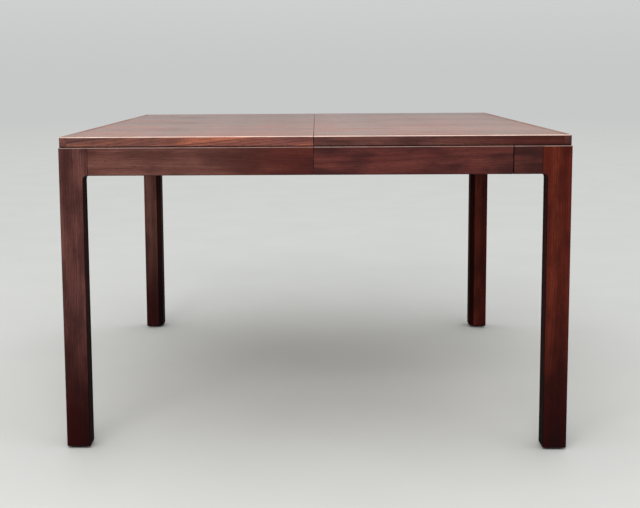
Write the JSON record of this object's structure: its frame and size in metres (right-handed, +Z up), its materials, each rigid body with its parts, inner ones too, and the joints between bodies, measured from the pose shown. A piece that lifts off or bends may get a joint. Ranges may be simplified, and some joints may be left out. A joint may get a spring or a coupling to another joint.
{
  "type": "extending dining table",
  "caption": "Square-legged rosewood dining table whose split top pulls apart at a centre seam on wooden slides, with turning locks under the seam.",
  "frame": {"origin": "on the floor under the centre of the closed table", "axes": "+X the way the right half pulls out, -Y the front shown in the picture, +Z up"},
  "size_m": [1.2, 1.2, 0.755],
  "materials": {
    "rosewood": "dark figured rosewood, satin varnish",
    "rosewood_top": "rosewood veneer, satin varnish",
    "beech": "plain waxed beech",
    "steel": "zinc plated",
    "blackened_steel": "blackened"
  },
  "bodies": {
    "left_half": {"left_top_panel": "rosewood_top", "left_front_lipping": "rosewood", "left_rear_lipping": "rosewood", "left_end_lipping": "rosewood", "left_front_apron": "rosewood", "left_rear_apron": "rosewood", "left_end_apron": "rosewood", "leg_front_left": "rosewood", "leg_rear_left": "rosewood", "glide_front_left": "steel", "glide_rear_left": "steel", "corner_block_front_left": "beech", "corner_block_rear_left": "beech", "hanger_bolt_front_left": "steel", "hanger_bolt_rear_left": "steel", "hanger_nut_front_left": "steel", "hanger_nut_rear_left": "steel", "left_front_batten": "beech", "left_rear_batten": "beech", "slide_left_front": "beech", "slide_left_rear": "beech", "alignment_pin_front": "beech", "alignment_pin_centre": "beech", "alignment_pin_rear": "beech", "lock_plate_front": "blackened_steel", "lock_plate_rear": "blackened_steel", "lock_rivet_front": "steel", "lock_rivet_rear": "steel"},
    "slide_middle": {"slide_runner_front": "beech", "slide_runner_rear": "beech", "slide_tie_left": "beech", "slide_tie_right": "beech"},
    "right_half": {"right_top_panel": "rosewood_top", "right_front_lipping": "rosewood", "right_rear_lipping": "rosewood", "right_end_lipping": "rosewood", "right_front_apron": "rosewood", "right_front_apron_block": "rosewood", "right_rear_apron": "rosewood", "right_end_apron": "rosewood", "leg_front_right": "rosewood", "leg_rear_right": "rosewood", "glide_front_right": "steel", "glide_rear_right": "steel", "corner_block_front_right": "beech", "corner_block_rear_right": "beech", "hanger_bolt_front_right": "steel", "hanger_bolt_rear_right": "steel", "hanger_nut_front_right": "steel", "hanger_nut_rear_right": "steel", "right_front_batten": "beech", "right_rear_batten": "beech", "slide_right_front": "beech", "slide_right_rear": "beech", "lock_keeper_front": "blackened_steel", "lock_keeper_rear": "blackened_steel"},
    "lock_front": {"lock_lever_front": "blackened_steel"},
    "lock_rear": {"lock_lever_rear": "blackened_steel"}
  },
  "joints": [
    {"name": "runner_slide", "type": "slide", "parent": "left_half", "child": "slide_middle", "axis": [1, 0, 0], "range_m": [0, 0.45]},
    {"name": "right_half_slide", "type": "slide", "parent": "slide_middle", "child": "right_half", "axis": [1, 0, 0], "range_m": [0, 0.45]},
    {"name": "front_lock_turn", "type": "hinge", "parent": "left_half", "child": "lock_front", "pos_m": [-0.055, -0.42, 0.7239], "axis": [0, 0, 1], "range_deg": [0, 90]},
    {"name": "rear_lock_turn", "type": "hinge", "parent": "left_half", "child": "lock_rear", "pos_m": [-0.055, 0.42, 0.7239], "axis": [0, 0, -1], "range_deg": [0, 90]}
  ]
}
